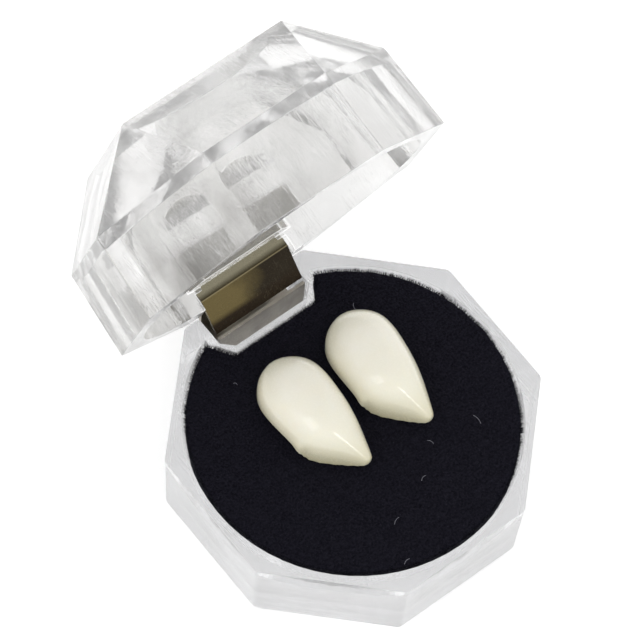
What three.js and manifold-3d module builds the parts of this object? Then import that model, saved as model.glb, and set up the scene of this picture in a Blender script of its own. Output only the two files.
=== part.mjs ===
// A pair of vampire fang caps on a black velvet pad in a clear octagonal box with its lid open.
// Millimetres. +X is the box's right, +Y its hinge side, +Z up, and the foot's centre is the origin.
import * as THREE from 'three';
import { ConvexGeometry } from 'three/addons/geometries/ConvexGeometry.js';
import { mergeVertices } from 'three/addons/utils/BufferGeometryUtils.js';
import Module from 'manifold-3d';

const wasm = await Module();
wasm.setup();

// Gap left between pieces that touch on the real box.
const seatGap = 0.3;
// Overlap of two solids that are joined or cut, so that no faces lie in one plane.
const bite = 0.4;
const roundSides = 64;
const boxSides = 8;

// Box
const boxAcross = 40.0;
const footAcross = 39.2;
const trayHeight = 10.4;
const recessRadius = 19.0;
const recessDepth = 3.0;

// Velvet pad
const padGap = 0.7;
const padBelowRim = 0.2;
const padNotchGap = 0.25;

// Lid, in heights over its own rim
const lidHeight = 18.7;
const girdleHeight = 10.3;
const shoulderAcross = 39.0;
const tableSide = 21.3;
const cavityRimRadius = 18.4;
const cavityTopRadius = 17.6;
const cavityStraight = 9.0;
const cavityDepth = 15.4;
const cavityCeilingRadius = 10.5;

// Hinge: a pin behind the back wall, a leaf pressed into the tray and one into the lid.
// What is inset is measured forwards from the back wall.
const openAngle = 75.0;
const hingeBehindWall = 0.4;
const hingeOverTray = 1.0;
const pinRadius = 0.4;
const pinClearance = 0.3;
const knuckleRadius = 1.05;
const knuckleHalf = 5.0;
const lidKnuckleHalf = 2.0;
const sheet = 0.4;
const leafWidth = 12.0;
const frontPlateInset = 3.5;
const frontPlateBelowRim = 0.05;
const pocketFloor = 3.6;

// Clear boss round the tray's pocket: half widths at its front and at its back
const bossFrontInset = 5.9;
const bossWall = 0.8;
const bossFrontHalf = 5.4;
const bossBackInset = 3.1;
const bossBackHalf = 7.3;

// Lid leaf, in the closed lid: a plate in the lid's pocket and an arm that leans back past the pin
const lidPlateInset = 2.3;
const lidPlateTop = 7.3;
const armBend = 1.05;
const armLean = 34.0;
const armLength = 4.45;

// The lid's own boss has the plan of the tray's boss and runs up from this height into the ceiling.
const lidBossBottom = 2.5;

// Fang caps
const fangLength = 16.0;
const fangHalfWidth = 4.1;
const fangCrown = 5.2;
const fangWall = 0.9;
const fangShoulder = 1.6;
const fangSway = 1.2;
const fangOverPad = 0.3;
const hollowEnd = 0.6;
const leftBluntX = -3.9;
const leftBluntY = 10.2;
const leftTurn = 6.4;
const rightBluntX = 6.1;
const rightBluntY = 10.3;
const rightTurn = 1.4;
// Shares of the length, the half width, the sideways sway and the crown's height, with the side wall's
// top and the open rim as shares of fangShoulder. The rim drops to the pad where the solid tip starts.
const fangSections = [
  { along: 0.0, width: 0.0, sway: 0.0, crown: 0.2, side: 0.4, rim: 0.0 },
  { along: 0.02, width: 0.36, sway: 0.0, crown: 0.38, side: 0.42, rim: 0.0 },
  { along: 0.06, width: 0.61, sway: -0.03, crown: 0.53, side: 0.5, rim: 0.05 },
  { along: 0.12, width: 0.81, sway: -0.1, crown: 0.68, side: 0.6, rim: 0.15 },
  { along: 0.2, width: 0.95, sway: -0.2, crown: 0.81, side: 0.75, rim: 0.35 },
  { along: 0.3, width: 1.0, sway: -0.4, crown: 0.91, side: 0.9, rim: 0.65 },
  { along: 0.42, width: 1.0, sway: -0.65, crown: 0.98, side: 1.0, rim: 0.88 },
  { along: 0.54, width: 0.98, sway: -0.9, crown: 1.0, side: 1.04, rim: 0.97 },
  { along: 0.63, width: 0.95, sway: -1.0, crown: 0.98, side: 1.04, rim: 0.97 },
  { along: 0.65, width: 0.94, sway: -1.0, crown: 0.97, side: 1.02, rim: 0.0 },
  { along: 0.74, width: 0.77, sway: -0.95, crown: 0.9, side: 0.96, rim: 0.0 },
  { along: 0.83, width: 0.54, sway: -0.72, crown: 0.77, side: 0.84, rim: 0.05 },
  { along: 0.91, width: 0.34, sway: -0.42, crown: 0.6, side: 0.74, rim: 0.15 },
  { along: 0.97, width: 0.19, sway: -0.15, crown: 0.43, side: 0.7, rim: 0.35 },
  { along: 1.0, width: 0.0, sway: 0.0, crown: 0.28, side: 0.75, rim: 0.7 },
];
const fangs = [
  { name: 'fang_left', bluntX: leftBluntX, bluntY: leftBluntY, turn: leftTurn },
  { name: 'fang_right', bluntX: rightBluntX, bluntY: rightBluntY, turn: rightTurn },
];

// Worked out from the sizes above
const recessFloor = trayHeight - recessDepth;
const padTop = trayHeight - padBelowRim;
const padRadius = recessRadius - padGap;
const backWall = boxAcross / 2;
const hingeY = backWall + hingeBehindWall;
const hingeZ = trayHeight + hingeOverTray;
const frontPlateFace = backWall - frontPlateInset;
const bossFront = backWall - bossFrontInset;
const bossBack = backWall - bossBackInset;
const lidPlateFace = backWall - lidPlateInset;
const lidRim = trayHeight + seatGap;
const leafHalf = leafWidth / 2;
const pocketHalf = leafHalf + seatGap;
const backReach = backWall + 2 * knuckleRadius;
const radians = THREE.MathUtils.degToRad;

const clear = { color: 0xf2f5f7, roughness: 0.05, metalness: 0, transparent: true, opacity: 0.35 };
const velvet = { color: 0x14121a, roughness: 1, metalness: 0 };
const ivory = { color: 0xe6e0cf, roughness: 0.35, metalness: 0 };
const bronzed = { color: 0x756a44, roughness: 0.35, metalness: 1 };
const steel = { color: 0x8a837e, roughness: 0.35, metalness: 1 };

function toSolid(geometry) {
  const bare = geometry.index ? geometry.toNonIndexed() : geometry.clone();
  bare.deleteAttribute('normal');
  bare.deleteAttribute('uv');
  const merged = mergeVertices(bare, 1e-4);
  const vertProperties = new Float32Array(merged.attributes.position.array);
  const triVerts = new Uint32Array(merged.index.array);
  return new wasm.Manifold(new wasm.Mesh({ numProp: 3, vertProperties, triVerts }));
}

function toGeometry(solid) {
  const mesh = solid.getMesh();
  const geometry = new THREE.BufferGeometry();
  geometry.setAttribute('position', new THREE.BufferAttribute(new Float32Array(mesh.vertProperties), 3));
  geometry.setIndex(new THREE.BufferAttribute(new Uint32Array(mesh.triVerts), 1));
  return geometry;
}

function addMesh(group, name, solid, look) {
  const mesh = new THREE.Mesh(toGeometry(solid), new THREE.MeshStandardMaterial(look));
  mesh.name = name;
  group.add(mesh);
  return mesh;
}

function octagon(across, z) {
  const radius = across / 2 / Math.cos(Math.PI / boxSides);
  return Array.from({ length: boxSides }, (_, i) => {
    const angle = ((i + 0.5) * 2 * Math.PI) / boxSides;
    return new THREE.Vector3(radius * Math.cos(angle), radius * Math.sin(angle), z);
  });
}

function block(x0, x1, y0, y1, z0, z1) {
  const box = new THREE.BoxGeometry(x1 - x0, y1 - y0, z1 - z0);
  return toSolid(box.translate((x0 + x1) / 2, (y0 + y1) / 2, (z0 + z1) / 2));
}

// A solid of revolution about Z, from [radius, z] corners listed upwards along its outside.
function turned(corners) {
  const profile = corners.map(([r, z]) => new THREE.Vector2(r, z));
  const last = corners.length - 1;
  profile.unshift(new THREE.Vector2(0, corners[0][1]));
  profile.push(new THREE.Vector2(0, corners[last][1]));
  return toSolid(new THREE.LatheGeometry(profile, roundSides).rotateX(Math.PI / 2));
}

// A plan outline of [x, y] corners, raised from z0 to z1.
function raised(corners, z0, z1) {
  const shape = new THREE.Shape(corners.map(([x, y]) => new THREE.Vector2(x, y)));
  const options = { depth: z1 - z0, bevelEnabled: false };
  return toSolid(new THREE.ExtrudeGeometry(shape, options).translate(0, 0, z0));
}

// A side profile of [y, z] points, drawn out along X from x0 to x1.
function drawnOut(shape, x0, x1, curveSegments = 6) {
  const options = { depth: x1 - x0, bevelEnabled: false, curveSegments };
  const axes = new THREE.Matrix4().makeBasis(
    new THREE.Vector3(0, 1, 0),
    new THREE.Vector3(0, 0, 1),
    new THREE.Vector3(1, 0, 0),
  );
  return toSolid(new THREE.ExtrudeGeometry(shape, options).applyMatrix4(axes).translate(x0, 0, 0));
}

// The profile of a bent sheet whose given face follows the path; its thickness lies to the path's left.
function bentSheet(path) {
  const points = path.map(([y, z]) => new THREE.Vector2(y, z));
  const normals = points.slice(1).map((point, i) => {
    const along = point.clone().sub(points[i]).normalize();
    return new THREE.Vector2(-along.y, along.x);
  });
  const inner = points.map((point, i) => {
    const before = normals[Math.max(i - 1, 0)];
    const after = normals[Math.min(i, normals.length - 1)];
    const mitre = before.clone().add(after).normalize();
    return point.clone().addScaledVector(mitre, sheet / mitre.dot(after));
  });
  return new THREE.Shape([...points, ...inner.reverse()]);
}

function ringShape(outer, bore) {
  const shape = new THREE.Shape().absarc(hingeY, hingeZ, outer, 0, 2 * Math.PI);
  shape.holes.push(new THREE.Path().absarc(hingeY, hingeZ, bore, 0, 2 * Math.PI, true));
  return shape;
}

function knuckle(x0, x1) {
  return drawnOut(ringShape(knuckleRadius, pinRadius + pinClearance), x0, x1, 12);
}

// Plan of the boss, or of what keeps a distance from it.
function bossPlan(margin, back) {
  const front = bossFront - margin;
  return [
    [-bossFrontHalf - margin, front],
    [bossFrontHalf + margin, front],
    [bossBackHalf + margin, bossBack],
    [bossBackHalf + margin, back],
    [-bossBackHalf - margin, back],
    [-bossBackHalf - margin, bossBack],
  ];
}

function makeTray() {
  const outer = toSolid(new ConvexGeometry([...octagon(footAcross, 0), ...octagon(boxAcross, trayHeight)]));
  const recess = turned([
    [recessRadius, recessFloor],
    [recessRadius, trayHeight + bite],
  ]).subtract(raised(bossPlan(0, backReach), recessFloor - bite, trayHeight + 2 * bite));
  const pocketFront = bossFront + bossWall;
  const pocket = raised(
    [
      [-bossFrontHalf + bossWall / 2, pocketFront],
      [bossFrontHalf - bossWall / 2, pocketFront],
      [pocketHalf, frontPlateFace - seatGap],
      [pocketHalf, backReach],
      [-pocketHalf, backReach],
      [-pocketHalf, frontPlateFace - seatGap],
    ],
    pocketFloor,
    trayHeight + bite,
  );
  return outer.subtract(recess).subtract(pocket);
}

function makePad() {
  const disc = turned([
    [padRadius, recessFloor + seatGap],
    [padRadius, padTop],
  ]);
  return disc.subtract(raised(bossPlan(padNotchGap, backReach), recessFloor, trayHeight));
}

function makeTrayLeaf() {
  const plateTop = trayHeight - frontPlateBelowRim;
  const floor = pocketFloor + seatGap;
  const tabFace = hingeY + knuckleRadius;
  const trough = bentSheet([
    [frontPlateFace, plateTop],
    [frontPlateFace, floor],
    [tabFace, floor],
  ]);
  let leaf = drawnOut(trough, -leafHalf, leafHalf);
  const inside = lidKnuckleHalf + pinClearance;
  for (const [x0, x1] of [[-knuckleHalf, -inside], [inside, knuckleHalf]]) {
    leaf = leaf.add(block(x0, x1, tabFace - sheet, tabFace, floor, hingeZ));
    leaf = leaf.add(knuckle(x0, x1));
  }
  return leaf;
}

function makePin() {
  const pin = new THREE.CylinderGeometry(pinRadius, pinRadius, 2 * knuckleHalf, 24);
  return toSolid(pin.rotateZ(Math.PI / 2).translate(0, hingeY, hingeZ));
}

function makeLidLeaf() {
  const lean = radians(armLean);
  const bend = [lidPlateFace, lidRim + armBend];
  const arm = [Math.sin(lean), -Math.cos(lean)];
  const armEnd = bend.map((value, i) => value + armLength * arm[i]);
  const plate = bentSheet([[lidPlateFace, lidRim + lidPlateTop], bend, armEnd]);
  const leaf = drawnOut(plate, -leafHalf, leafHalf);
  // The web runs from the pin's middle square to the arm and is bored with the knuckle.
  const toPin = [hingeY - bend[0], hingeZ - bend[1]];
  const reach = toPin[0] * Math.cos(lean) + toPin[1] * Math.sin(lean);
  const square = [-Math.cos(lean), -Math.sin(lean)];
  const corner = (side, far) => new THREE.Vector2(
    hingeY + side * knuckleRadius * arm[0] + far * square[0],
    hingeZ + side * knuckleRadius * arm[1] + far * square[1],
  );
  const far = reach - sheet / 2;
  const webShape = new THREE.Shape([corner(-1, 0), corner(1, 0), corner(1, far), corner(-1, far)]);
  const bore = new THREE.Shape().absarc(hingeY, hingeZ, pinRadius + pinClearance, 0, 2 * Math.PI);
  return leaf
    .add(drawnOut(webShape, -lidKnuckleHalf, lidKnuckleHalf))
    .add(knuckle(-lidKnuckleHalf, lidKnuckleHalf))
    .subtract(drawnOut(bore, -lidKnuckleHalf - bite, lidKnuckleHalf + bite, 12));
}

function makeLid() {
  const half = tableSide / 2;
  const top = lidRim + lidHeight;
  const table = [[-half, -half], [half, -half], [half, half], [-half, half]];
  const outer = toSolid(new ConvexGeometry([
    ...octagon(boxAcross, lidRim),
    ...octagon(shoulderAcross, lidRim + girdleHeight),
    ...table.map(([x, y]) => new THREE.Vector3(x, y, top)),
  ]));
  const cavity = turned([
    [cavityRimRadius, lidRim - bite],
    [cavityTopRadius, lidRim + cavityStraight],
    [cavityCeilingRadius, lidRim + cavityDepth],
  ]).subtract(raised(bossPlan(0, backReach), lidRim + lidBossBottom, top));
  const plateSlack = seatGap + sheet;
  const platePocket = block(
    -pocketHalf, pocketHalf,
    lidPlateFace - seatGap, lidPlateFace + plateSlack,
    lidRim - bite, lidRim + lidPlateTop + seatGap,
  );
  const notchTop = hingeZ + knuckleRadius + seatGap;
  const pinNotch = block(
    -pocketHalf, pocketHalf,
    frontPlateFace - seatGap, backReach,
    lidRim - bite, notchTop,
  );
  return outer.subtract(cavity).subtract(platePocket).subtract(pinNotch);
}

// One fang, blunt end at the origin and tip along -Y, with its rim's lowest point at z = 0.
function sectionAt(along) {
  const next = Math.max(1, fangSections.findIndex((row) => row.along >= along));
  const [a, b] = [fangSections[next - 1], fangSections[next]];
  const t = (along - a.along) / (b.along - a.along);
  const mix = (key) => a[key] + (b[key] - a[key]) * t;
  return {
    width: fangHalfWidth * mix('width'),
    sway: fangSway * mix('sway'),
    crown: fangCrown * mix('crown'),
    side: fangShoulder * mix('side'),
    rim: fangShoulder * mix('rim'),
  };
}

function archRing(along, sway, width, crown, side, rim) {
  const archSteps = 18;
  const y = -fangLength * along;
  const ring = [new THREE.Vector3(sway + width, y, rim)];
  for (let i = 0; i <= archSteps; i++) {
    const angle = (Math.PI * i) / archSteps;
    const z = side + (crown - side) * Math.sin(angle);
    ring.push(new THREE.Vector3(sway + width * Math.cos(angle), y, z));
  }
  ring.push(new THREE.Vector3(sway - width, y, rim));
  return ring;
}

function skinned(rings) {
  const count = rings[0].length;
  const points = rings.flat();
  const faces = [];
  for (let r = 0; r + 1 < rings.length; r++) {
    for (let i = 0; i < count; i++) {
      const j = (i + 1) % count;
      const [a, b] = [r * count + i, r * count + j];
      faces.push([a, b, b + count], [a, b + count, a + count]);
    }
  }
  const last = (rings.length - 1) * count;
  for (let i = 1; i + 1 < count; i++) {
    faces.push([0, i + 1, i], [last, last + i, last + i + 1]);
  }
  const geometry = new THREE.BufferGeometry();
  geometry.setFromPoints(faces.flat().map((index) => points[index]));
  return toSolid(geometry);
}

function makeFang() {
  const stations = fangSections.flatMap((row, i) => {
    const next = fangSections[i + 1];
    return next ? [row.along, (row.along + next.along) / 2] : [row.along];
  });
  const pole = 0.02;
  const outer = stations.map((along) => {
    const { sway, width, crown, side, rim } = sectionAt(along);
    return archRing(along, sway, Math.max(width, pole), Math.max(crown, side + pole), side, rim);
  });
  const start = fangWall / fangLength;
  const inner = stations.filter((along) => along > start && along <= hollowEnd).map((along) => {
    const { sway, width, crown, side } = sectionAt(along);
    const shrunk = Math.max(width - fangWall, pole);
    return archRing(along, sway, shrunk, Math.max(crown - fangWall, side + pole), side, -bite);
  });
  return skinned(outer).subtract(skinned(inner));
}

const model = new THREE.Group();
addMesh(model, 'base_tray', makeTray(), clear);
addMesh(model, 'velvet_pad', makePad(), velvet);
addMesh(model, 'hinge_tray_leaf', makeTrayLeaf(), steel);
addMesh(model, 'hinge_pin', makePin(), steel);

for (const { name, bluntX, bluntY, turn } of fangs) {
  const fang = addMesh(model, name, makeFang(), ivory);
  fang.position.set(bluntX, bluntY, padTop + fangOverPad);
  fang.rotation.z = radians(turn);
}

// The lid is modelled shut, about the pin, and stands open as shown.
const lidGroup = new THREE.Group();
lidGroup.position.set(0, hingeY, hingeZ);
lidGroup.rotation.x = -radians(openAngle);
const shut = new THREE.Group();
shut.position.set(0, -hingeY, -hingeZ);
lidGroup.add(shut);
model.add(lidGroup);
addMesh(shut, 'lid_dome', makeLid(), clear);
addMesh(shut, 'hinge_lid_leaf', makeLidLeaf(), bronzed);

export default model;
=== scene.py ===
import bpy
import math
import random
from mathutils import Matrix, Vector


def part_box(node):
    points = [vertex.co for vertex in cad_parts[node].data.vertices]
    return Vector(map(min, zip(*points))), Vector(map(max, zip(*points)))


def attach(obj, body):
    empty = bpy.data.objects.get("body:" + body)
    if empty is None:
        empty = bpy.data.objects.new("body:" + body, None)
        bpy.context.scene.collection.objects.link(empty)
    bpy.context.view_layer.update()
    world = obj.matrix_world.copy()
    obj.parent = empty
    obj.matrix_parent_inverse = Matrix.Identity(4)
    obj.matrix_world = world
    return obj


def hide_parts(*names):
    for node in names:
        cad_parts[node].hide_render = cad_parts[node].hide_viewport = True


# A pair of ivory fang caps on a black velvet pad, in a clear faceted box with its lid open.
# The work order gives the sizes in millimetres, Blender works in metres.
mm = 0.001
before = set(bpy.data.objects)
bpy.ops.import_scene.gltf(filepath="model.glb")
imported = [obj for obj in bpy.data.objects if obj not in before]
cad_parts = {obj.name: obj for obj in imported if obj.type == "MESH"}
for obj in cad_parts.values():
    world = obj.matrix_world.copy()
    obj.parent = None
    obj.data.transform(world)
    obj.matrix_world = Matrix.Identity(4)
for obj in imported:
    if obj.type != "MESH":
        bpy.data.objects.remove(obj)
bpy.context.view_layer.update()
print("frame loaded:", sorted(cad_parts))


def clearSelection():
    if bpy.context.object and bpy.context.object.mode != "OBJECT":
        bpy.ops.object.mode_set(mode="OBJECT")
    bpy.ops.object.select_all(action="DESELECT")


def focusOn(piece):
    clearSelection()
    piece.select_set(True)
    bpy.context.view_layer.objects.active = piece


def startPiece(name):
    # names the primitive that was just added
    piece = bpy.context.object
    piece.name = name
    piece.data.name = name
    return piece


def applyModifiers(piece):
    focusOn(piece)
    for modifier in list(piece.modifiers):
        bpy.ops.object.modifier_apply(modifier=modifier.name)


def addModifier(piece, kind, **settings):
    modifier = piece.modifiers.new(kind.title(), kind)
    for key, value in settings.items():
        setattr(modifier, key, value)
    return modifier


def settlePiece(piece, smoothAngle=30):
    # place goes into the mesh, so the object ends at the origin
    focusOn(piece)
    bpy.ops.object.transform_apply(location=True, rotation=True, scale=True)
    bpy.ops.object.shade_smooth_by_angle(angle=math.radians(smoothAngle))
    clearSelection()


def flattenFaces(piece):
    # large faces keep a flat shade and the narrow rounded edges between them take the turn
    addModifier(piece, "WEIGHTED_NORMAL", mode="FACE_AREA", weight=90, keep_sharp=True)
    applyModifiers(piece)
    clearSelection()


def selectWhere(piece, test, kind="VERT"):
    # picks vertices, edges or faces in edit mode by where they are
    bpy.ops.mesh.select_all(action="DESELECT")
    bpy.ops.mesh.select_mode(type=kind)
    bpy.ops.object.mode_set(mode="OBJECT")
    mesh = piece.data
    if kind == "VERT":
        for vertex in mesh.vertices:
            vertex.select = test(vertex.co)
    elif kind == "FACE":
        for face in mesh.polygons:
            face.select = test(face)
    else:
        for edge in mesh.edges:
            a, b = (mesh.vertices[i].co for i in edge.vertices)
            edge.select = test(a, b)
    bpy.ops.object.mode_set(mode="EDIT")


def copyOfNode(nodeName, name):
    # a merged copy of a solid from the frame, to be finished here
    clearSelection()
    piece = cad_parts[nodeName].copy()
    piece.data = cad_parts[nodeName].data.copy()
    bpy.context.scene.collection.objects.link(piece)
    for key in list(piece.keys()):
        del piece[key]
    piece.parent = None
    piece.matrix_world = Matrix.Identity(4)
    piece.name = name
    piece.data.name = name
    piece.data.materials.clear()
    focusOn(piece)
    bpy.ops.object.mode_set(mode="EDIT")
    bpy.ops.mesh.select_all(action="SELECT")
    bpy.ops.mesh.remove_doubles(threshold=0.002 * mm)
    bpy.ops.mesh.dissolve_limited(angle_limit=math.radians(0.6))
    bpy.ops.object.mode_set(mode="OBJECT")
    return piece


view = {
    "azimuth": -44.012,
    "elevation": 63.198,
    "distance": 664.54,
    "roll": 6.841,
    "target": (8.133, 15.634, 0.0),
    "lens": 329.845,
}


def setCamera():
    bpy.ops.object.camera_add()
    camera = bpy.context.object
    camera.name = "photo_camera"
    turn = (Matrix.Rotation(math.radians(view["azimuth"]), 4, "Z")
            @ Matrix.Rotation(math.radians(90 - view["elevation"]), 4, "X"))
    back = turn.to_3x3() @ Vector((0, 0, 1))
    place = (Vector(view["target"]) + back * view["distance"]) * mm
    camera.matrix_world = (Matrix.Translation(place) @ turn
                           @ Matrix.Rotation(math.radians(view["roll"]), 4, "Z"))
    camera.data.lens = view["lens"]
    camera.data.sensor_width = 36
    camera.data.clip_start = 0.01
    camera.data.clip_end = 20
    bpy.context.scene.camera = camera


studio = {
    "floorSize": 3.0,
    "floorColour": (0.8, 0.8, 0.8, 1),
    "floorGlow": 0.4,
    "worldStrength": 0.96,
    # direction from the box, distance, size and power of each soft lamp
    "lamps": (("front_strip", (-0.17, -0.8, 0.57), 0.9, (0.08, 0.85), 1.1),
              ("high_softbox", (-0.55, 0.1, 0.83), 1.1, (0.5, 0.5), 1.2)),
}


def makeFloor():
    clearSelection()
    bpy.ops.mesh.primitive_plane_add(size=studio["floorSize"], location=(0, 0, 0))
    floor = startPiece("studio_floor")
    material = bpy.data.materials.new("pale_floor")
    material.use_nodes = True
    shader = material.node_tree.nodes["Principled BSDF"]
    shader.inputs["Base Color"].default_value = studio["floorColour"]
    shader.inputs["Roughness"].default_value = 0.8
    shader.inputs["Emission Color"].default_value = (1, 1, 1, 1)
    shader.inputs["Emission Strength"].default_value = studio["floorGlow"]
    floor.data.materials.append(material)


def makeLights():
    world = bpy.data.worlds.new("soft_studio")
    bpy.context.scene.world = world
    world.use_nodes = True
    background = world.node_tree.nodes["Background"]
    background.inputs["Color"].default_value = (1, 1, 1, 1)
    background.inputs["Strength"].default_value = studio["worldStrength"]
    bpy.context.scene.view_settings.view_transform = "Standard"
    for name, direction, distance, (width, length), power in studio["lamps"]:
        away = Vector(direction).normalized()
        bpy.ops.object.light_add(type="AREA", location=away * distance)
        lamp = bpy.context.object
        lamp.name = name
        lamp.data.shape = "RECTANGLE"
        lamp.data.size = width
        lamp.data.size_y = length
        lamp.data.energy = power
        lamp.rotation_euler = away.to_track_quat("Z", "Y").to_euler()


setCamera()
makeFloor()
makeLights()
print("camera, floor and light set")


def addNode(tree, kind, inputs=None, **settings):
    # inputs are numbers, colours or the outputs of other nodes
    node = tree.nodes.new("ShaderNode" + kind)
    for key, value in settings.items():
        setattr(node, key, value)
    for key, value in (inputs or {}).items():
        if isinstance(value, bpy.types.NodeSocket):
            tree.links.new(value, node.inputs[key])
        else:
            node.inputs[key].default_value = value
    return node


def startGroup(name, inputs, outputs):
    group = bpy.data.node_groups.new(name, "ShaderNodeTree")
    for label, kind, value in inputs:
        socket = group.interface.new_socket(label, in_out="INPUT", socket_type=kind)
        if value is not None:
            socket.default_value = value
    for label in outputs:
        group.interface.new_socket(label, in_out="OUTPUT", socket_type="NodeSocketFloat")
    given = group.nodes.new("NodeGroupInput").outputs
    return group, given, group.nodes.new("NodeGroupOutput").inputs


scratches = {
    # turn in degrees and stretch of each layer
    "layers": ((24, 12), (-52, 9), (83, 16)),
    "patchScale": 0.22,
    "patchFull": 0.75,
}


def makeHairlines():
    # fine scratches in three directions, only in some patches
    group, given, result = startGroup(
        "hairline_scratches",
        (("Vector", "NodeSocketVector", None), ("Density", "NodeSocketFloat", 0.25),
         ("Width", "NodeSocketFloat", 0.012), ("Bareness", "NodeSocketFloat", 0.5)),
        ("Mask",))
    strongest = None
    for turn, stretch in scratches["layers"]:
        mapped = addNode(group, "Mapping", {
            "Vector": given["Vector"], "Scale": (stretch, 1, 1),
            "Rotation": (math.radians(turn / 3), math.radians(turn / 2), math.radians(turn))})
        noise = addNode(group, "TexNoise", {
            "Vector": mapped.outputs["Vector"], "Scale": given["Density"], "Detail": 1.0})
        fromMiddle = addNode(group, "Math", {0: noise.outputs["Fac"], 1: 0.5}, operation="SUBTRACT")
        size = addNode(group, "Math", {0: fromMiddle.outputs[0]}, operation="ABSOLUTE")
        line = addNode(group, "MapRange", {
            "Value": size.outputs[0], "From Max": given["Width"], "To Min": 1.0, "To Max": 0.0})
        if strongest is None:
            strongest = line.outputs["Result"]
        else:
            strongest = addNode(group, "Math", {0: strongest, 1: line.outputs["Result"]},
                                operation="MAXIMUM").outputs[0]
    patches = addNode(group, "TexNoise", {
        "Vector": given["Vector"], "Scale": scratches["patchScale"], "Detail": 2.0})
    bare = addNode(group, "MapRange", {
        "Value": patches.outputs["Fac"], "From Min": given["Bareness"],
        "From Max": scratches["patchFull"]})
    mask = addNode(group, "Math", {0: strongest, 1: bare.outputs["Result"]}, operation="MULTIPLY")
    group.links.new(mask.outputs[0], result["Mask"])
    return group


def makeMottle():
    # broad clouds and fine grain, both from 0 to 1
    group, given, result = startGroup(
        "soft_mottle",
        (("Vector", "NodeSocketVector", None), ("Scale", "NodeSocketFloat", 0.2),
         ("Grain Scale", "NodeSocketFloat", 3.0)),
        ("Broad", "Fine"))
    for scaleName, outName, detail in (("Scale", "Broad", 3.0), ("Grain Scale", "Fine", 2.0)):
        noise = addNode(group, "TexNoise", {
            "Vector": given["Vector"], "Scale": given[scaleName], "Detail": detail})
        spread = addNode(group, "MapRange", {
            "Value": noise.outputs["Fac"], "From Min": 0.3, "From Max": 0.7})
        group.links.new(spread.outputs["Result"], result[outName])
    return group


hairlines = makeHairlines()
mottle = makeMottle()
lidPose = {"pin": (0, 20.4, 11.4), "open": 75}


def placeInMm(tree, onLid=False):
    # object coordinates in millimetres, for the lid as it lies when it is shut
    place = addNode(tree, "TexCoord")
    mapping = addNode(tree, "Mapping", {"Vector": place.outputs["Object"],
                                        "Scale": (1000, 1000, 1000)})
    if onLid:
        turn = Matrix.Rotation(math.radians(lidPose["open"]), 3, "X")
        pin = Vector(lidPose["pin"])
        mapping.inputs["Rotation"].default_value = turn.to_euler()
        mapping.inputs["Location"].default_value = pin - turn @ pin
    return mapping.outputs["Vector"]


def startMaterial(name):
    material = bpy.data.materials.new(name)
    material.use_nodes = True
    return material, material.node_tree, material.node_tree.nodes["Principled BSDF"]


def mixColours(tree, factor, first, second):
    # the output of a mix of two colours by a factor
    mix = addNode(tree, "Mix", data_type="RGBA")
    tree.links.new(factor, mix.inputs[0])
    for socket, value in ((mix.inputs[6], first), (mix.inputs[7], second)):
        if isinstance(value, bpy.types.NodeSocket):
            tree.links.new(value, socket)
        else:
            socket.default_value = value
    return mix.outputs[2]


def ramp(tree, value, low, high, first=0.0, last=1.0):
    node = addNode(tree, "MapRange", {"Value": value, "From Min": low, "From Max": high,
                                      "To Min": first, "To Max": last})
    return node.outputs["Result"]


def compute(tree, operation, first, second):
    return addNode(tree, "Math", {0: first, 1: second}, operation=operation).outputs[0]


def useMottle(tree, place, scale, grainScale):
    return addNode(tree, "Group", {"Vector": place, "Scale": scale, "Grain Scale": grainScale},
                   node_tree=mottle).outputs


def useHairlines(tree, place, density, width, bareness):
    return addNode(tree, "Group", {"Vector": place, "Density": density, "Width": width,
                                   "Bareness": bareness}, node_tree=hairlines).outputs["Mask"]


def makeBump(tree, shader, height):
    # height in millimetres
    bump = addNode(tree, "Bump", {"Height": height, "Distance": mm, "Strength": 1.0})
    tree.links.new(bump.outputs["Normal"], shader.inputs["Normal"])


clearFinish = {
    "ior": 1.49,
    "mottle": (0.15, 1.4),
    "flowScale": (1.1, 1.1, 0.12),
    "scratches": (0.22, 0.014, 0.42),
    # haze that is left high up, and at the right
    "leastHaze": (0.35, 0.2),
    "tray": {"tint": (0.85, 0.852, 0.865, 1), "haze": (0.79, 0.79, 0.795, 1),
             "transmission": 0.86, "glow": 0.045, "flow": 0.008, "scratch": 0.014, "ripple": 0.0,
             "roughness": (0.01, 0.05), "hazeHeights": (20.0, 30.0), "hazeAcross": (30.0, 40.0)},
    # the boss's edges: whiter, less clear and glowing, a painted highlight
    "edge": {"tint": (0.95, 0.95, 0.95, 1), "haze": (0.9, 0.9, 0.9, 1),
             "transmission": 0.6, "glow": 0.3, "flow": 0.004, "scratch": 0.0, "ripple": 0.0,
             "roughness": (0.02, 0.08), "hazeHeights": (20.0, 30.0), "hazeAcross": (30.0, 40.0)},
    "lid": {"tint": (0.81, 0.808, 0.803, 1), "haze": (0.34, 0.33, 0.312, 1),
            "transmission": 0.94, "glow": 0.045, "flow": 0.011, "scratch": 0.018, "ripple": 0.0006,
            "roughness": (0.0, 0.015), "hazeHeights": (14.0, 24.0), "hazeAcross": (-12.0, 8.0)},
}


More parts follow.
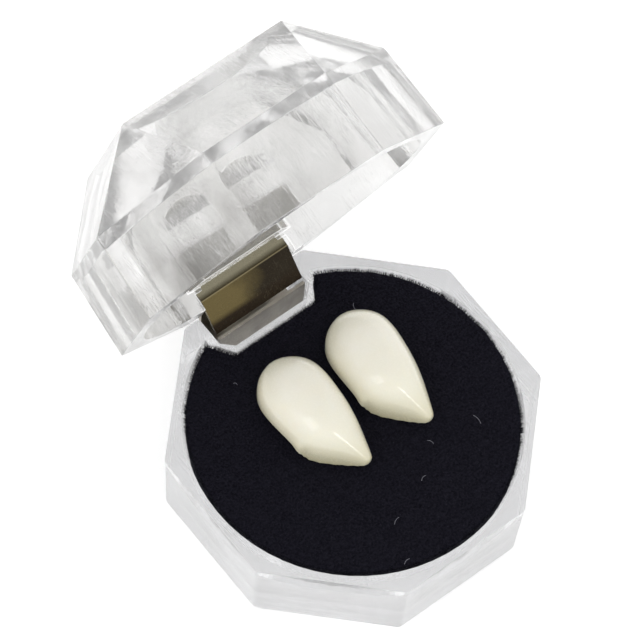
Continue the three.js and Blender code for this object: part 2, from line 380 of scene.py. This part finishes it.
def makeClear(name, finish, onLid):
    material, tree, shader = startMaterial(name)
    place = placeInMm(tree, onLid)
    clouds = useMottle(tree, place, *clearFinish["mottle"])
    # towards the rim and to the left the tint turns to the haze colour, which on the lid is dark
    # grey
    axes = addNode(tree, "SeparateXYZ", {"Vector": place}).outputs
    highHaze, rightHaze = clearFinish["leastHaze"]
    low = ramp(tree, axes["Z"], *finish["hazeHeights"], 1.0, highHaze)
    left = ramp(tree, axes["X"], *finish["hazeAcross"], 1.0, rightHaze)
    hazy = compute(tree, "MULTIPLY", clouds["Broad"], compute(tree, "MULTIPLY", low, left))
    tree.links.new(mixColours(tree, hazy, finish["tint"], finish["haze"]),
                   shader.inputs["Base Color"])
    tree.links.new(ramp(tree, clouds["Fine"], 0.0, 1.0, *finish["roughness"]),
                   shader.inputs["Roughness"])
    # flow lines of the moulding run along the walls
    flowPlace = addNode(tree, "Mapping", {"Vector": place, "Scale": clearFinish["flowScale"]})
    flow = addNode(tree, "TexNoise", {"Vector": flowPlace.outputs["Vector"], "Scale": 1.0,
                                      "Detail": 3.0})
    waves = compute(tree, "MULTIPLY", flow.outputs["Fac"], finish["flow"])
    marks = compute(tree, "MULTIPLY", useHairlines(tree, place, *clearFinish["scratches"]),
                    -finish["scratch"])
    ripples = compute(tree, "MULTIPLY", clouds["Fine"], finish["ripple"])
    makeBump(tree, shader, compute(tree, "ADD", compute(tree, "ADD", waves, marks), ripples))
    shader.inputs["IOR"].default_value = clearFinish["ior"]
    shader.inputs["Transmission Weight"].default_value = finish["transmission"]
    # a painted glow: the plastic gives off a little light of its own, though it is no lamp
    shader.inputs["Emission Color"].default_value = (1, 1, 1, 1)
    shader.inputs["Emission Strength"].default_value = finish["glow"]
    return material


# the second one of the lid covers the edges of its boss: whiter, less clear and glowing, a painted
# highlight where those edges catch the light
clearMaterials = {"box": [makeClear("clear_tray_plastic", clearFinish["tray"], False)],
                  "lid": [makeClear("clear_lid_plastic", clearFinish["lid"], True),
                          makeClear("clear_lid_edge_glint", clearFinish["edge"], True)]}
clearShapes = {
    "edgeRadius": 0.15,
    "edgeFrom": 22,
    "cornerRadius": 0.35,
    "cornerFrom": 20.3,
    "bossHalfWidth": 7.5,
    "bossPlaces": (11.0, 18.6),
    # node, piece, body and the way its upright corners run
    "copies": (("base_tray", "clear_tray", "box", (0, 0, 1)),
               ("lid_dome", "clear_lid", "lid", (0, 0.966, 0.259))),
}


def roundCorners(piece, upright, pin):
    # the eight upright corners are polished rounder than the other edges
    middle = Vector((0, 0, 0))
    if pin:
        turn = Matrix.Rotation(-math.radians(lidPose["open"]), 3, "X")
        middle = pin - turn @ pin

    def isCorner(a, b):
        along = b - a
        away = (a + b) / 2 - middle
        away -= upright * away.dot(upright)
        return (along.length > 2 * mm and abs(along.normalized().dot(upright)) > 0.95
                and away.length > clearShapes["cornerFrom"] * mm)

    focusOn(piece)
    bpy.ops.object.mode_set(mode="EDIT")
    selectWhere(piece, isCorner, "EDGE")
    bpy.ops.mesh.bevel(offset=clearShapes["cornerRadius"] * mm, segments=3, affect="EDGES")
    bpy.ops.object.mode_set(mode="OBJECT")


def keepBossEdges(piece, pin):
    # only the boss's rounded edges keep the second material, the painted highlight
    turn = Matrix.Rotation(math.radians(lidPose["open"]), 3, "X")
    nearest, farthest = clearShapes["bossPlaces"]
    for face in piece.data.polygons:
        shut = (turn @ (face.center - pin) + pin) / mm
        if abs(shut.x) > clearShapes["bossHalfWidth"] or not nearest < shut.y < farthest:
            face.material_index = 0


def makeClearPieces():
    pin = Vector(lidPose["pin"]) * mm
    for nodeName, name, body, upright in clearShapes["copies"]:
        onLid = body == "lid"
        piece = copyOfNode(nodeName, name)
        for material in clearMaterials[body]:
            piece.data.materials.append(material)
        roundCorners(piece, Vector(upright), pin if onLid else None)
        # on the lid the bevels take the last material, the painted highlight on the boss's edges
        addModifier(piece, "BEVEL", width=clearShapes["edgeRadius"] * mm, segments=2,
                    limit_method="ANGLE",
                    angle_limit=math.radians(clearShapes["edgeFrom"]),
                    material=len(clearMaterials[body]) - 1)
        applyModifiers(piece)
        if onLid:
            keepBossEdges(piece, pin)
        settlePiece(piece)
        flattenFaces(piece)
        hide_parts(nodeName)
        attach(piece, body)


makeClearPieces()
print("clear tray and lid made")


fang = {
    "length": 16.0,
    "wall": 0.9,
    "hollowEnd": 0.6,
    "hollowHeight": 2.6,
    "archSides": 20,
    "overPad": 0.3,
    "ridgeFrom": 0.7,
    "ridgeTo": 0.96,
    "ridgeCrease": 0.5,
    "rimCrease": 0.75,
    "kinkPush": 0.3,
    "kinkAt": (0.612, 0.636),
    "kinkBeyond": -4.2,
    "kinkUnder": 2.4,
    "hollowTop": (0.5, 0.7, 0.3),
    # how far along, near and far edge, then heights of the crown, the side wall and the open rim
    "sections": (
        (-0.02, 0.0, 0.0, 1.0, 0.6, 0.0),
        (0.0, -1.7, 1.6, 1.95, 0.67, 0.0),
        (0.05, -2.85, 2.6, 2.75, 0.8, 0.08),
        (0.11, -3.75, 3.35, 3.5, 0.96, 0.24),
        (0.19, -4.4, 3.8, 4.2, 1.2, 0.56),
        (0.3, -4.8, 3.8, 4.75, 1.44, 1.04),
        (0.42, -4.98, 3.45, 5.1, 1.6, 1.41),
        (0.54, -5.05, 3.05, 5.2, 1.66, 1.55),
        (0.612, -4.92, 2.74, 5.14, 1.66, 1.2),
        (0.636, -4.82, 2.62, 5.09, 1.64, 0.2),
        (0.67, -4.58, 2.45, 5.0, 1.61, 0.0),
        (0.74, -3.95, 2.08, 4.68, 1.54, 0.0),
        (0.83, -2.78, 1.5, 4.0, 1.34, 0.08),
        (0.9, -1.86, 1.04, 3.2, 1.18, 0.24),
        (0.95, -1.22, 0.7, 2.5, 1.12, 0.5),
        (0.985, -0.82, 0.42, 1.95, 1.12, 0.8),
        (1.0, -0.2, -0.2, 1.45, 1.2, 1.1),
    ),
    "places": (("fang_left", "ivory_cap_left", (-3.9, 10.2), 6.4),
               ("fang_right", "ivory_cap_right", (6.1, 10.3), 1.4)),
}


def makeCap(name):
    # half a tube with its blunt end at the origin and its tip along -Y,
    # cut into rings that are shaped one by one
    size = fang
    sections = size["sections"]
    first, last = (-along * size["length"] for along in (sections[0][0], sections[-1][0]))
    clearSelection()
    bpy.ops.mesh.primitive_cylinder_add(
        vertices=2 * size["archSides"], radius=mm, depth=(first - last) * mm,
        end_fill_type="NOTHING", location=(0, (first + last) / 2 * mm, 0),
        rotation=(math.pi / 2, 0, 0))
    cap = startPiece(name)
    bpy.ops.object.transform_apply(location=True, rotation=True, scale=True)
    bpy.ops.object.mode_set(mode="EDIT")
    selectWhere(cap, lambda co: co.z < -0.01 * mm)
    bpy.ops.mesh.delete(type="VERT")
    for along, *_ in sections[1:-1]:
        bpy.ops.mesh.select_all(action="SELECT")
        bpy.ops.mesh.bisect(plane_co=(0, -along * size["length"] * mm, 0), plane_no=(0, 1, 0))
    # the side walls, pulled down from the two feet of the arch
    selectWhere(cap, lambda a, b: abs(a.z) < 0.01 * mm and abs(b.z) < 0.01 * mm, "EDGE")
    bpy.ops.mesh.extrude_edges_move(TRANSFORM_OT_translate={"value": (0, 0, -mm)})
    for along, near, far, crown, sideTop, rim in sections:
        y = -along * size["length"] * mm
        half = max((far - near) / 2, 0.02)
        rise = max(crown - sideTop, 0.02)

        def inRing(co):
            return abs(co.y - y) < 0.05 * mm

        selectWhere(cap, lambda co: inRing(co) and co.z > -0.5 * mm)
        bpy.ops.transform.resize(value=(half, 1, rise), center_override=(0, y, 0))
        selectWhere(cap, lambda co: inRing(co) and co.z < -0.5 * mm)
        bpy.ops.transform.resize(value=(half, 1, 1), center_override=(0, y, 0))
        bpy.ops.transform.translate(value=(0, 0, (1 + rim - sideTop) * mm))
        selectWhere(cap, inRing)
        bpy.ops.transform.translate(value=((far + near) / 2 * mm, 0, sideTop * mm))
    sharpenRidge(cap)
    pushKink(cap)
    # both ends close up to a point over a point
    for y in (first, last):
        selectWhere(cap, lambda co: abs(co.y - y * mm) < 0.01 * mm)
        bpy.ops.mesh.remove_doubles(threshold=0.06 * mm)
    return cap


def sharpenRidge(cap):
    # a soft ridge runs along the top of the pointed part
    size = fang
    tops = {}
    for vertex in cap.data.vertices:
        y = round(vertex.co.y / mm, 2)
        if -size["ridgeTo"] * size["length"] < y < -size["ridgeFrom"] * size["length"]:
            tops[y] = max(tops.get(y, 0), vertex.co.z)

    def onTop(co):
        y = round(co.y / mm, 2)
        return y in tops and co.z > tops[y] - 0.001 * mm

    selectWhere(cap, lambda a, b: onTop(a) and onTop(b), "EDGE")
    bpy.ops.transform.edge_crease(value=size["ridgeCrease"])


def pushKink(cap):
    # a small notch in the near edge, where the flat flank ends and the point begins
    size = fang
    for along, push in zip(size["kinkAt"], (-size["kinkPush"], size["kinkPush"] / 2)):
        y = -along * size["length"] * mm
        selectWhere(cap, lambda co: abs(co.y - y) < 0.05 * mm
                    and co.x < size["kinkBeyond"] * mm and co.z < size["kinkUnder"] * mm)
        bpy.ops.transform.translate(value=(push * mm, 0, 0))


def hollowCap(cap):
    # the underside is filled, and the blunt part of it is sunk to make the hollow
    size = fang
    bpy.ops.mesh.select_mode(type="EDGE")
    bpy.ops.mesh.select_all(action="DESELECT")
    bpy.ops.mesh.select_non_manifold(extend=False, use_wire=False, use_multi_face=False,
                                     use_non_contiguous=False, use_verts=False)
    bpy.ops.transform.edge_crease(value=size["rimCrease"])
    bpy.ops.mesh.edge_face_add()
    bpy.ops.mesh.select_mode(type="FACE")
    end = -size["hollowEnd"] * size["length"] * mm
    bpy.ops.mesh.bisect(plane_co=(0, end, 0), plane_no=(0, 1, 0))
    selectWhere(cap, lambda face: len(face.vertices) > 12 and face.center.y > end, "FACE")
    bpy.ops.mesh.inset(thickness=size["wall"] * mm)
    bpy.ops.mesh.extrude_region_move(
        TRANSFORM_OT_translate={"value": (0, 0, size["hollowHeight"] * mm)})
    bpy.ops.transform.resize(value=size["hollowTop"])
    bpy.ops.mesh.select_all(action="SELECT")
    bpy.ops.mesh.normals_make_consistent(inside=False)
    bpy.ops.object.mode_set(mode="OBJECT")


def makeCaps():
    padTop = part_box("velvet_pad")[1].z
    for nodeName, name, (bluntX, bluntY), turn in fang["places"]:
        cap = makeCap(name)
        hollowCap(cap)
        cap.location = (bluntX * mm, bluntY * mm, padTop + fang["overPad"] * mm)
        cap.rotation_euler = (0, 0, math.radians(turn))
        addModifier(cap, "SUBSURF", levels=2, render_levels=2)
        applyModifiers(cap)
        settlePiece(cap, 60)
        cap.data.materials.append(ivoryResin)
        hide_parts(nodeName)
        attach(cap, "box")


ivoryFinish = {
    "body": (0.8, 0.776, 0.685, 1),
    "cloud": (0.78, 0.75, 0.645, 1),
    # the foot colour is partly the thin resin's tint and partly painted shade on the lower flank
    "foot": (0.44, 0.39, 0.17, 1),
    "blunt": (0.76, 0.77, 0.685, 1),
    "tip": (0.7, 0.68, 0.565, 1),
    "footShadeHeights": (10.2, 14.8),
    "footShadeShare": 0.85,
    "bluntPlaces": (8.0, 11.0),
    "tipPlaces": (-3.0, 5.0),
    "mottle": (0.35, 5.0),
    "roughness": (0.2, 0.32),
    "scratches": (0.4, 0.01, 0.55),
    "scratchDepth": 0.001,
    "gloss": 0.15,
    "coatRoughness": 0.05,
    "glow": 0.12,
    "depthShare": 0.3,
    "depthColours": (1.0, 0.8, 0.5),
    "depth": 0.8,
}


def makeIvory():
    # warm resin, darker at the tip, and darker and yellower where its edge comes down to the pad:
    # partly the thin resin's own tint, partly painted shade on the lower flank
    finish = ivoryFinish
    material, tree, shader = startMaterial("ivory_resin")
    place = placeInMm(tree)
    clouds = useMottle(tree, place, *finish["mottle"])
    axes = addNode(tree, "SeparateXYZ", {"Vector": place}).outputs
    colour = mixColours(tree, clouds["Broad"], finish["body"], finish["cloud"])
    colour = mixColours(tree, ramp(tree, axes["Y"], *finish["bluntPlaces"]),
                        colour, finish["blunt"])
    colour = mixColours(tree, ramp(tree, axes["Y"], *finish["tipPlaces"], 1.0, 0.0),
                        colour, finish["tip"])
    # lower down the colour turns to the foot colour, partly tint and partly painted shade
    colour = mixColours(tree, ramp(tree, axes["Z"], *finish["footShadeHeights"],
                                   finish["footShadeShare"], 0.0), colour, finish["foot"])
    tree.links.new(colour, shader.inputs["Base Color"])
    tree.links.new(ramp(tree, clouds["Fine"], 0.0, 1.0, *finish["roughness"]),
                   shader.inputs["Roughness"])
    marks = useHairlines(tree, place, *finish["scratches"])
    makeBump(tree, shader, compute(tree, "MULTIPLY", marks, -finish["scratchDepth"]))
    shader.inputs["Specular IOR Level"].default_value = finish["gloss"]
    shader.inputs["Coat Weight"].default_value = 1.0
    shader.inputs["Coat Roughness"].default_value = finish["coatRoughness"]
    # a painted glow in the resin's own colour fills in its shading
    shader.inputs["Emission Color"].default_value = finish["body"]
    shader.inputs["Emission Strength"].default_value = finish["glow"]
    shader.inputs["Subsurface Weight"].default_value = finish["depthShare"]
    shader.inputs["Subsurface Radius"].default_value = finish["depthColours"]
    shader.inputs["Subsurface Scale"].default_value = finish["depth"] * mm
    return material


ivoryResin = makeIvory()
makeCaps()
print("fang caps made")


pad = {
    "grain": 0.35,
    "edgeSoftening": 3,
    "spread": 1.016,
    "unevenness": 0.06,
    "clumpSize": 1.3,
    "napLean": 0.45,
    "napRoot": 0.1,
    "napLength": 0.34,
    "napThickness": 0.045,
    "napCount": 16000,
    "rimNapCount": 9000,
    "rimNapLean": 0.5,
    "rimNapLength": 0.5,
    "rimNapRise": 0.35,
    "underLidFrom": 18.2,
    "underLidRise": 0.15,
    "wallRadius": 18.95,
    "seed": 7,
}


def makePad():
    piece = copyOfNode("velvet_pad", "velvet_pad_cover")
    # a little wider than its solid, so that less of a white gap shows at the wall
    piece.scale = (pad["spread"], pad["spread"], 1)
    focusOn(piece)
    bpy.ops.object.transform_apply(location=True, rotation=True, scale=True)
    addModifier(piece, "REMESH", mode="VOXEL", voxel_size=pad["grain"] * mm, adaptivity=0)
    addModifier(piece, "SMOOTH", factor=0.5, iterations=pad["edgeSoftening"])
    clumps = bpy.data.textures.new("velvet_clumps", "CLOUDS")
    clumps.noise_scale = pad["clumpSize"] * mm
    addModifier(piece, "DISPLACE", texture=clumps, texture_coords="LOCAL",
                strength=pad["unevenness"] * 2 * mm, mid_level=0.6)
    applyModifiers(piece)
    settlePiece(piece, 60)
    piece.data.materials.append(blackVelvet)
    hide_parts("velvet_pad")
    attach(piece, "box")
    return piece


def keepInRecess(tip, padTop):
    # near the wall a fibre stays under the shut lid's rim, and it ends at the wall
    radius = math.hypot(tip.x, tip.y)
    if radius > pad["underLidFrom"] * mm:
        tip.z = min(tip.z, padTop + pad["underLidRise"] * mm)
    if radius > pad["wallRadius"] * mm:
        tip.xy = tip.xy * (pad["wallRadius"] * mm / radius)
    return tip


def makeNap(cover):
    # thousands of tiny three-sided fibres over the top face and round its edge
    draws = random.Random(pad["seed"])
    mesh = cover.data
    top = [face for face in mesh.polygons if face.normal.z > 0.6]
    edge = [face for face in mesh.polygons if 0.15 < face.normal.z <= 0.8]
    points, faces = [], []
    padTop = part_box("velvet_pad")[1].z
    for group, count, lean, length, rise in (
            (top, pad["napCount"], pad["napLean"], pad["napLength"], 0),
            (edge, pad["rimNapCount"], pad["rimNapLean"], pad["rimNapLength"],
             pad["rimNapRise"])):
        for _ in range(count):
            face = draws.choice(group)
            corners = [mesh.vertices[i].co for i in face.vertices]
            weights = [draws.random() for _ in corners]
            root = sum((corner * weight for corner, weight in zip(corners, weights)),
                       Vector()) / sum(weights)
            away = face.normal + Vector([draws.uniform(-lean, lean) for _ in range(3)])
            away.z += rise
            tip = keepInRecess(root + away.normalized() * length * draws.uniform(0.5, 1.2) * mm,
                               padTop)
            side = away.orthogonal().normalized() * pad["napThickness"] / 2 * mm
            turn = Matrix.Rotation(math.radians(120), 3, away.normalized())
            foot = root - away.normalized() * pad["napRoot"] * mm
            first = len(points)
            points += [foot + side, foot + turn @ side, foot + turn @ turn @ side, tip]
            faces += [(first, first + 2, first + 1)]
            faces += [(first + i, first + (i + 1) % 3, first + 3) for i in range(3)]
    napMesh = bpy.data.meshes.new("velvet_nap")
    napMesh.from_pydata(points, [], faces)
    nap = bpy.data.objects.new("velvet_nap", napMesh)
    bpy.context.scene.collection.objects.link(nap)
    nap.data.materials.append(blackVelvet)
    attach(nap, "box")


velvetFinish = {
    "deep": (0.002, 0.0018, 0.0045, 1),
    "lit": (0.009, 0.0085, 0.0145, 1),
    "sheen": (0.8, 0.82, 1, 1),
    "mottle": (0.5, 4.0),
    "roughness": (1.0, 0.8),
    "depth": 0.08,
}


def makeVelvet():
    material, tree, shader = startMaterial("black_velvet")
    place = placeInMm(tree)
    clouds = useMottle(tree, place, *velvetFinish["mottle"])
    tree.links.new(mixColours(tree, clouds["Fine"], velvetFinish["deep"], velvetFinish["lit"]),
                   shader.inputs["Base Color"])
    tree.links.new(ramp(tree, clouds["Fine"], 0.0, 1.0, *velvetFinish["roughness"]),
                   shader.inputs["Roughness"])
    makeBump(tree, shader, compute(tree, "MULTIPLY", clouds["Fine"], velvetFinish["depth"]))
    shader.inputs["Specular IOR Level"].default_value = 0.1
    shader.inputs["Sheen Weight"].default_value = 0.04
    shader.inputs["Sheen Roughness"].default_value = 0.4
    shader.inputs["Sheen Tint"].default_value = velvetFinish["sheen"]
    return material


blackVelvet = makeVelvet()
padCover = makePad()
makeNap(padCover)
print("velvet pad made")


lint = {
    "thickness": 0.06,
    "bends": 6,
    "bow": 0.12,
    "overPad": 0.32,
    "colour": (0.3, 0.3, 0.33, 1),
    "dust": (0.08, 0.08, 0.11, 1),
    "mottle": (2.0, 8.0),
    # place on the pad, turn and length of each fibre
    "fibres": (((10.9, -8.2), -88, 1.3), ((5.0, -7.3), -65, 0.8), ((1.7, -10.3), 16, 0.8),
               ((-3.9, -12.6), 24, 1.0), ((-6.0, -17.1), 12, 0.9), ((-8.0, 11.1), -60, 0.5),
               ((8.6, 10.9), 66, 0.8)),
}


def makeLintColour():
    material, tree, shader = startMaterial("pale_lint")
    clouds = useMottle(tree, placeInMm(tree), *lint["mottle"])
    tree.links.new(mixColours(tree, clouds["Fine"], lint["colour"], lint["dust"]),
                   shader.inputs["Base Color"])
    shader.inputs["Roughness"].default_value = 0.9
    return material


def makeLint():
    # one thin thread is bowed in the middle, then copied, sized and laid down for each fibre
    size = lint
    clearSelection()
    bpy.ops.mesh.primitive_cylinder_add(vertices=6, radius=size["thickness"] / 2 * mm, depth=mm,
                                        rotation=(0, math.pi / 2, 0))
    thread = startPiece("pad_lint")
    bpy.ops.object.transform_apply(location=True, rotation=True, scale=True)
    bpy.ops.object.mode_set(mode="EDIT")
    places = [(i / size["bends"] - 0.5) * mm for i in range(1, size["bends"])]
    for x in places:
        bpy.ops.mesh.select_all(action="SELECT")
        bpy.ops.mesh.bisect(plane_co=(x, 0, 0), plane_no=(1, 0, 0))
    for x in places:
        selectWhere(thread, lambda co: abs(co.x - x) < 0.01 * mm)
        bow = size["bow"] * (mm - 4 * x * x / mm)
        bpy.ops.transform.translate(value=(0, bow, bow / 2))
    bpy.ops.object.mode_set(mode="OBJECT")
    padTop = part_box("velvet_pad")[1].z
    copies = [thread]
    for _ in size["fibres"][1:]:
        copy = thread.copy()
        copy.data = thread.data.copy()
        bpy.context.scene.collection.objects.link(copy)
        copies.append(copy)
    for copy, ((x, y), turn, length) in zip(copies, size["fibres"]):
        copy.location = (x * mm, y * mm, padTop + size["overPad"] * mm)
        copy.rotation_euler = (0, 0, math.radians(turn))
        copy.scale = (length, 1, 1)
    focusOn(thread)
    for copy in copies:
        copy.select_set(True)
    bpy.ops.object.join()
    settlePiece(thread, 60)
    thread.data.materials.append(makeLintColour())
    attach(thread, "box")


makeLint()
print("lint laid on the pad")


hinge = {
    "edgeRadius": 0.07,
    "edgeFrom": 40,
    "copies": (("hinge_tray_leaf", "grey_hinge_plate", "box", "grey_sheet_metal"),
               ("hinge_pin", "hinge_pin_rod", "box", "grey_sheet_metal"),
               ("hinge_lid_leaf", "olive_hinge_plate", "lid", "olive_sheet_metal")),
}


def makeHinge():
    finishes = {"grey_sheet_metal": greyMetal, "olive_sheet_metal": oliveMetal}
    for nodeName, name, body, slotName in hinge["copies"]:
        piece = copyOfNode(nodeName, name)
        addModifier(piece, "BEVEL", width=hinge["edgeRadius"] * mm, segments=2,
                    limit_method="ANGLE", angle_limit=math.radians(hinge["edgeFrom"]))
        applyModifiers(piece)
        settlePiece(piece)
        flattenFaces(piece)
        piece.data.materials.append(finishes[slotName])
        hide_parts(nodeName)
        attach(piece, body)


metalFinish = {
    "greyMottle": (0.4, 3.0),
    "greyRolling": (0.5, 8.0, 8.0),
    "greyScratches": (0.6, 0.012, 0.4),
    "greyScratch": (0.8, 0.78, 0.75, 1),
    "greyRoughness": (0.28, 0.45),
    "greyDepth": 0.004,
    "oliveMottle": (0.45, 4.0),
    "oliveRolling": (0.6, 7.0, 7.0),
    "oliveScratches": (0.5, 0.004, 0.5),
    "oliveScratch": (0.6, 0.55, 0.38, 1),
    "oliveRoughness": (0.22, 0.42),
    "oliveDepth": 0.006,
    "greyScratchShare": 0.6,
    "oliveScratchShare": 0.2,
    "oliveScratchDepth": 0.3,
    "grey": (0.39, 0.36, 0.31, 1),
    "greyDark": (0.26, 0.24, 0.205, 1),
    "olive": (0.145, 0.113, 0.05, 1),
    "brown": (0.03, 0.024, 0.017, 1),
    "lip": (0.24, 0.22, 0.155, 1),
    "lipPaintedShade": (0.035, 0.027, 0.013, 1),
    "bendHighlight": (0.4, 0.34, 0.2, 1),
    # painted shade: the leaf is dark at its end, in the gap over the grey plate
    "foot": (0.03, 0.022, 0.015, 1),
    "bend": 11.75,
    # heights over the bend between which the painted shade turns into the pale lip, and half widths
    # of the painted highlight along the bend
    "lipHeights": (0.1, 0.8),
    "bendSoftness": 0.05,
    "bendHighlightHalves": (0.02, 0.1),
    "bendHighlightShare": 0.5,
    "brownWander": 2.0,
    "brownFrom": (-1.0, 3.0),
    "footShadeHeights": (8.9, 9.5),
}


def makeRolling(tree, place, scale):
    # fine lines along the sheet, as it was rolled
    rolled = addNode(tree, "Mapping", {"Vector": place, "Scale": scale})
    return addNode(tree, "TexNoise", {"Vector": rolled.outputs["Vector"], "Scale": 1.0,
                                      "Detail": 2.0}).outputs["Fac"]


def makeGreyMetal():
    material, tree, shader = startMaterial("grey_sheet_metal")
    place = placeInMm(tree)
    finish = metalFinish
    clouds = useMottle(tree, place, *finish["greyMottle"])
    grain = makeRolling(tree, place, finish["greyRolling"])
    marks = useHairlines(tree, place, *finish["greyScratches"])
    colour = mixColours(tree, clouds["Broad"], finish["grey"], finish["greyDark"])
    colour = mixColours(tree, compute(tree, "MULTIPLY", marks, finish["greyScratchShare"]),
                        colour, finish["greyScratch"])
    tree.links.new(colour, shader.inputs["Base Color"])
    tree.links.new(ramp(tree, grain, 0.3, 0.7, *finish["greyRoughness"]),
                   shader.inputs["Roughness"])
    height = compute(tree, "SUBTRACT", grain, marks)
    makeBump(tree, shader, compute(tree, "MULTIPLY", height, finish["greyDepth"]))
    shader.inputs["Metallic"].default_value = 1
    return material


def makeOliveMetal():
    # bronzed sheet: grey olive over the bend, yellow olive to brown under it; painted shade just
    # over the bend, a painted highlight along it and painted shade at its end
    finish = metalFinish
    material, tree, shader = startMaterial("olive_sheet_metal")
    place = placeInMm(tree, onLid=True)
    axes = addNode(tree, "SeparateXYZ", {"Vector": place}).outputs
    clouds = useMottle(tree, place, *finish["oliveMottle"])
    grain = makeRolling(tree, place, finish["oliveRolling"])
    marks = useHairlines(tree, place, *finish["oliveScratches"])
    wander = compute(tree, "MULTIPLY", clouds["Broad"], finish["brownWander"])
    across = compute(tree, "ADD", axes["X"], wander)
    colour = mixColours(tree, ramp(tree, across, *finish["brownFrom"]), finish["olive"],
                        finish["brown"])
    bend = finish["bend"]
    # painted shade just over the bend, turning to the lip's grey olive higher up
    lipFrom, lipTo = finish["lipHeights"]
    lip = mixColours(tree, ramp(tree, axes["Z"], bend + lipFrom, bend + lipTo), finish["lipPaintedShade"],
                     finish["lip"])
    soft = finish["bendSoftness"]
    colour = mixColours(tree, ramp(tree, axes["Z"], bend - soft, bend + soft), colour, lip)
    # a painted highlight along the bend
    line = ramp(tree, compute(tree, "ABSOLUTE", compute(tree, "SUBTRACT", axes["Z"], bend), 0.0),
                *finish["bendHighlightHalves"], finish["bendHighlightShare"], 0.0)
    colour = mixColours(tree, line, colour, finish["bendHighlight"])
    # painted shade at the leaf's end, over the grey plate
    colour = mixColours(tree, ramp(tree, axes["Z"], *finish["footShadeHeights"], 1.0, 0.0),
                        colour, finish["foot"])
    colour = mixColours(tree, compute(tree, "MULTIPLY", marks, finish["oliveScratchShare"]),
                        colour, finish["oliveScratch"])
    tree.links.new(colour, shader.inputs["Base Color"])
    tree.links.new(ramp(tree, clouds["Fine"], 0.0, 1.0, *finish["oliveRoughness"]),
                   shader.inputs["Roughness"])
    cuts = compute(tree, "MULTIPLY", marks, finish["oliveScratchDepth"])
    height = compute(tree, "SUBTRACT", grain, cuts)
    makeBump(tree, shader, compute(tree, "MULTIPLY", height, finish["oliveDepth"]))
    shader.inputs["Metallic"].default_value = 1
    return material


greyMetal = makeGreyMetal()
oliveMetal = makeOliveMetal()
makeHinge()
print("hinge made")
